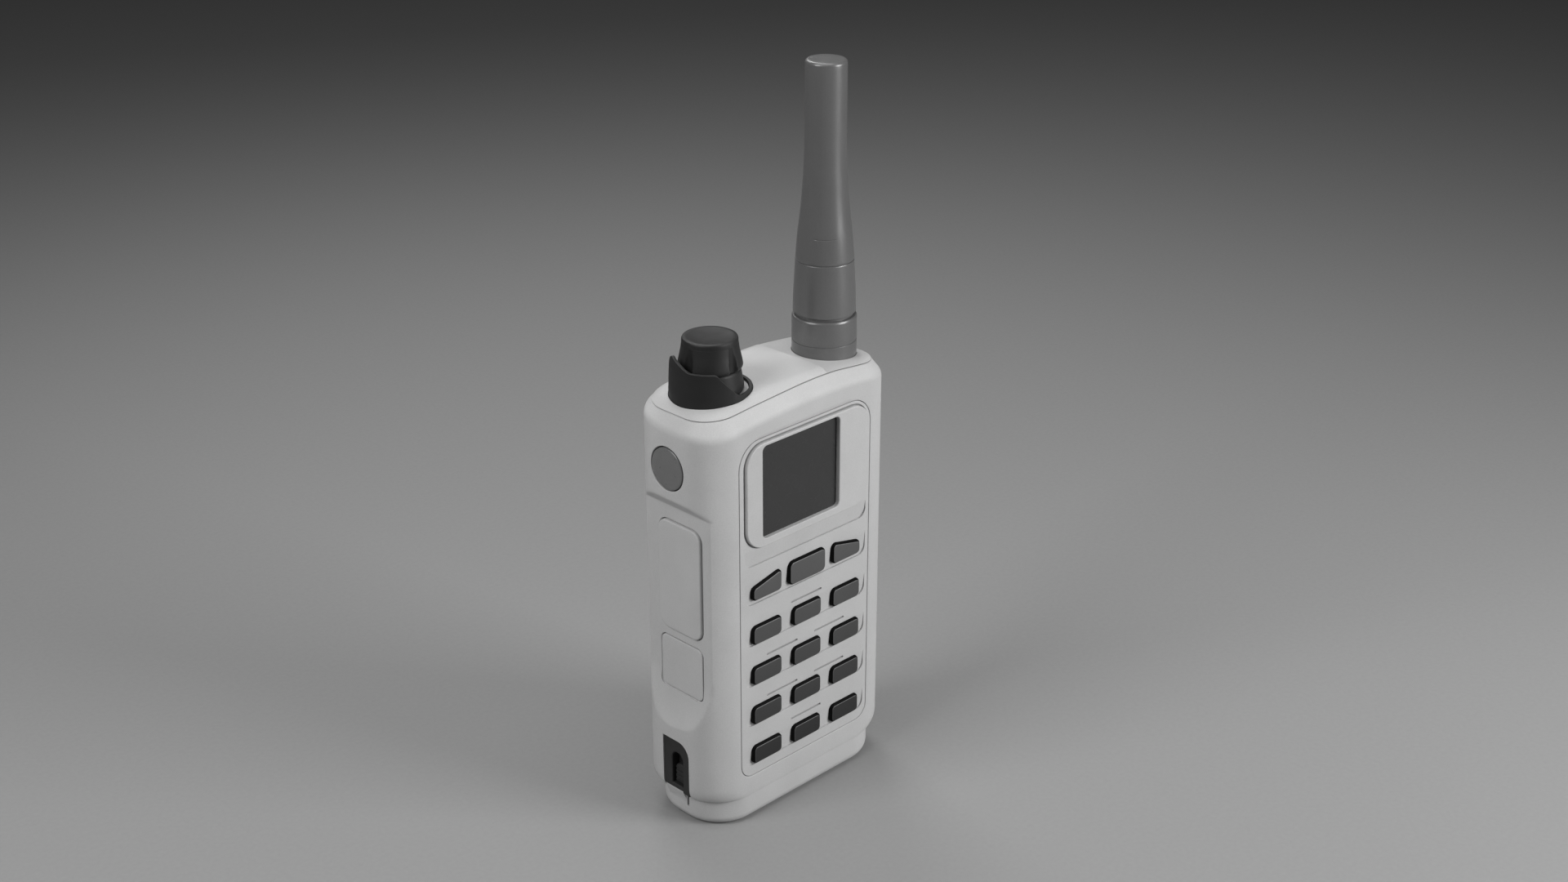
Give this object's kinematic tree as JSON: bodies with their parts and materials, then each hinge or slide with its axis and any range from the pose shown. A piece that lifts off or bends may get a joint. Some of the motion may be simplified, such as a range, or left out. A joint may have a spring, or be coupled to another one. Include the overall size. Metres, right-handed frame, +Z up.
{
  "type": "handheld aviation radio",
  "caption": "Handheld two-way radio with a stub antenna, ringed volume knob, small display, keypad, side talk paddle and a battery that slides out below.",
  "frame": {"origin": "middle of the flat underside of the battery foot, on the middle planes of the case", "axes": "+Z up towards the antenna, -Y out of the keypad face, +X towards the antenna side"},
  "size_m": [0.0576, 0.0255, 0.1646],
  "materials": {
    "case_plastic": "fine spark texture",
    "panel_plastic": "satin",
    "seal_rubber": "matt",
    "display_glass": "gloss",
    "lcd_plastic": "gloss",
    "board_laminate": "solder mask",
    "shield_steel": "satin",
    "insert_brass": "turned",
    "dark_plastic": "matt",
    "socket_metal": "turned",
    "battery_plastic": "satin",
    "antenna_plastic": "satin",
    "knob_plastic": "matt",
    "shaft_steel": "ground",
    "button_plastic": "satin",
    "key_plastic": "satin"
  },
  "bodies": {
    "case": {"main_shell": "case_plastic", "top_cap": "case_plastic", "cap_seal": "seal_rubber", "front_panel": "panel_plastic", "display_frame": "panel_plastic", "display_window": "display_glass", "lcd_module": "lcd_plastic", "keypad_mat": "seal_rubber", "main_board": "board_laminate", "rf_shield": "shield_steel", "rear_cover": "case_plastic", "cover_screws": "shield_steel", "clip_inserts": "insert_brass", "speaker": "dark_plastic", "microphone": "shield_steel", "jack_block": "dark_plastic", "jack_cover": "seal_rubber", "antenna_socket": "socket_metal", "control_body": "socket_metal", "side_switches": "dark_plastic", "contact_block": "dark_plastic", "latch_frame_left": "dark_plastic", "latch_frame_right": "dark_plastic"},
    "battery": {"battery_foot": "case_plastic", "battery_pack": "battery_plastic", "battery_contacts": "insert_brass"},
    "antenna": {"antenna_whip": "antenna_plastic", "antenna_collar": "antenna_plastic", "antenna_plug": "insert_brass"},
    "volume": {"volume_knob": "knob_plastic", "volume_shaft": "shaft_steel"},
    "squelch": {"squelch_knob": "knob_plastic", "squelch_shaft": "shaft_steel"},
    "selector": {"selector_ring": "knob_plastic"},
    "talk": {"talk_paddle": "panel_plastic"},
    "lower_button": {"side_key_lower": "panel_plastic"},
    "round_button": {"side_key_round": "button_plastic"},
    "latch_left": {"latch_slider_left": "dark_plastic"},
    "latch_right": {"latch_slider_right": "dark_plastic"},
    "key_f1_body": {"key_f1": "key_plastic"},
    "key_f2_body": {"key_f2": "key_plastic"},
    "key_f3_body": {"key_f3": "key_plastic"},
    "key_a1_body": {"key_a1": "key_plastic"},
    "key_a2_body": {"key_a2": "key_plastic"},
    "key_a3_body": {"key_a3": "key_plastic"},
    "key_b1_body": {"key_b1": "key_plastic"},
    "key_b2_body": {"key_b2": "key_plastic"},
    "key_b3_body": {"key_b3": "key_plastic"},
    "key_c1_body": {"key_c1": "key_plastic"},
    "key_c2_body": {"key_c2": "key_plastic"},
    "key_c3_body": {"key_c3": "key_plastic"},
    "key_d1_body": {"key_d1": "key_plastic"},
    "key_d2_body": {"key_d2": "key_plastic"},
    "key_d3_body": {"key_d3": "key_plastic"}
  },
  "joints": [
    {"name": "battery_slide", "type": "slide", "parent": "case", "child": "battery", "axis": [0, 0, -1], "range_m": [0, 0.062]},
    {"name": "antenna_twist", "type": "hinge", "parent": "case", "child": "antenna", "pos_m": [0.0184, 0.0004, 0.105], "axis": [0, 0, 1], "range_deg": [0, 90]},
    {"name": "volume_turn", "type": "hinge", "parent": "case", "child": "volume", "pos_m": [-0.0157, 0.0005, 0.1087], "axis": [0, 0, -1], "range_deg": [0, 270]},
    {"name": "squelch_turn", "type": "hinge", "parent": "case", "child": "squelch", "pos_m": [-0.0157, 0.0005, 0.1027], "axis": [0, 0, -1], "range_deg": [0, 270]},
    {"name": "selector_turn", "type": "hinge", "parent": "case", "child": "selector", "pos_m": [-0.0157, 0.0005, 0.0998], "axis": [0, 0, 1], "range_deg": [-25, 25]},
    {"name": "talk_press", "type": "slide", "parent": "case", "child": "talk", "axis": [1, 0, 0], "range_m": [0, 0.0008], "stiffness_N_per_m": 1800},
    {"name": "lower_press", "type": "slide", "parent": "case", "child": "lower_button", "axis": [1, 0, 0], "range_m": [0, 0.0006], "stiffness_N_per_m": 1800},
    {"name": "round_press", "type": "slide", "parent": "case", "child": "round_button", "axis": [1, 0, 0], "range_m": [0, 0.0008], "stiffness_N_per_m": 1800},
    {"name": "latch_left_slide", "type": "slide", "parent": "case", "child": "latch_left", "axis": [0, 0, 1], "range_m": [0, 0.003], "stiffness_N_per_m": 400},
    {"name": "latch_right_slide", "type": "slide", "parent": "case", "child": "latch_right", "axis": [0, 0, 1], "range_m": [0, 0.003], "stiffness_N_per_m": 400},
    {"name": "key_f1_press", "type": "slide", "parent": "case", "child": "key_f1_body", "axis": [0, 1, 0], "range_m": [0, 0.0006], "stiffness_N_per_m": 2000},
    {"name": "key_f2_press", "type": "slide", "parent": "case", "child": "key_f2_body", "axis": [0, 1, 0], "range_m": [0, 0.0006], "stiffness_N_per_m": 2000},
    {"name": "key_f3_press", "type": "slide", "parent": "case", "child": "key_f3_body", "axis": [0, 1, 0], "range_m": [0, 0.0006], "stiffness_N_per_m": 2000},
    {"name": "key_a1_press", "type": "slide", "parent": "case", "child": "key_a1_body", "axis": [0, 1, 0], "range_m": [0, 0.0006], "stiffness_N_per_m": 2000},
    {"name": "key_a2_press", "type": "slide", "parent": "case", "child": "key_a2_body", "axis": [0, 1, 0], "range_m": [0, 0.0006], "stiffness_N_per_m": 2000},
    {"name": "key_a3_press", "type": "slide", "parent": "case", "child": "key_a3_body", "axis": [0, 1, 0], "range_m": [0, 0.0006], "stiffness_N_per_m": 2000},
    {"name": "key_b1_press", "type": "slide", "parent": "case", "child": "key_b1_body", "axis": [0, 1, 0], "range_m": [0, 0.0006], "stiffness_N_per_m": 2000},
    {"name": "key_b2_press", "type": "slide", "parent": "case", "child": "key_b2_body", "axis": [0, 1, 0], "range_m": [0, 0.0006], "stiffness_N_per_m": 2000},
    {"name": "key_b3_press", "type": "slide", "parent": "case", "child": "key_b3_body", "axis": [0, 1, 0], "range_m": [0, 0.0006], "stiffness_N_per_m": 2000},
    {"name": "key_c1_press", "type": "slide", "parent": "case", "child": "key_c1_body", "axis": [0, 1, 0], "range_m": [0, 0.0006], "stiffness_N_per_m": 2000},
    {"name": "key_c2_press", "type": "slide", "parent": "case", "child": "key_c2_body", "axis": [0, 1, 0], "range_m": [0, 0.0006], "stiffness_N_per_m": 2000},
    {"name": "key_c3_press", "type": "slide", "parent": "case", "child": "key_c3_body", "axis": [0, 1, 0], "range_m": [0, 0.0006], "stiffness_N_per_m": 2000},
    {"name": "key_d1_press", "type": "slide", "parent": "case", "child": "key_d1_body", "axis": [0, 1, 0], "range_m": [0, 0.0006], "stiffness_N_per_m": 2000},
    {"name": "key_d2_press", "type": "slide", "parent": "case", "child": "key_d2_body", "axis": [0, 1, 0], "range_m": [0, 0.0006], "stiffness_N_per_m": 2000},
    {"name": "key_d3_press", "type": "slide", "parent": "case", "child": "key_d3_body", "axis": [0, 1, 0], "range_m": [0, 0.0006], "stiffness_N_per_m": 2000}
  ]
}
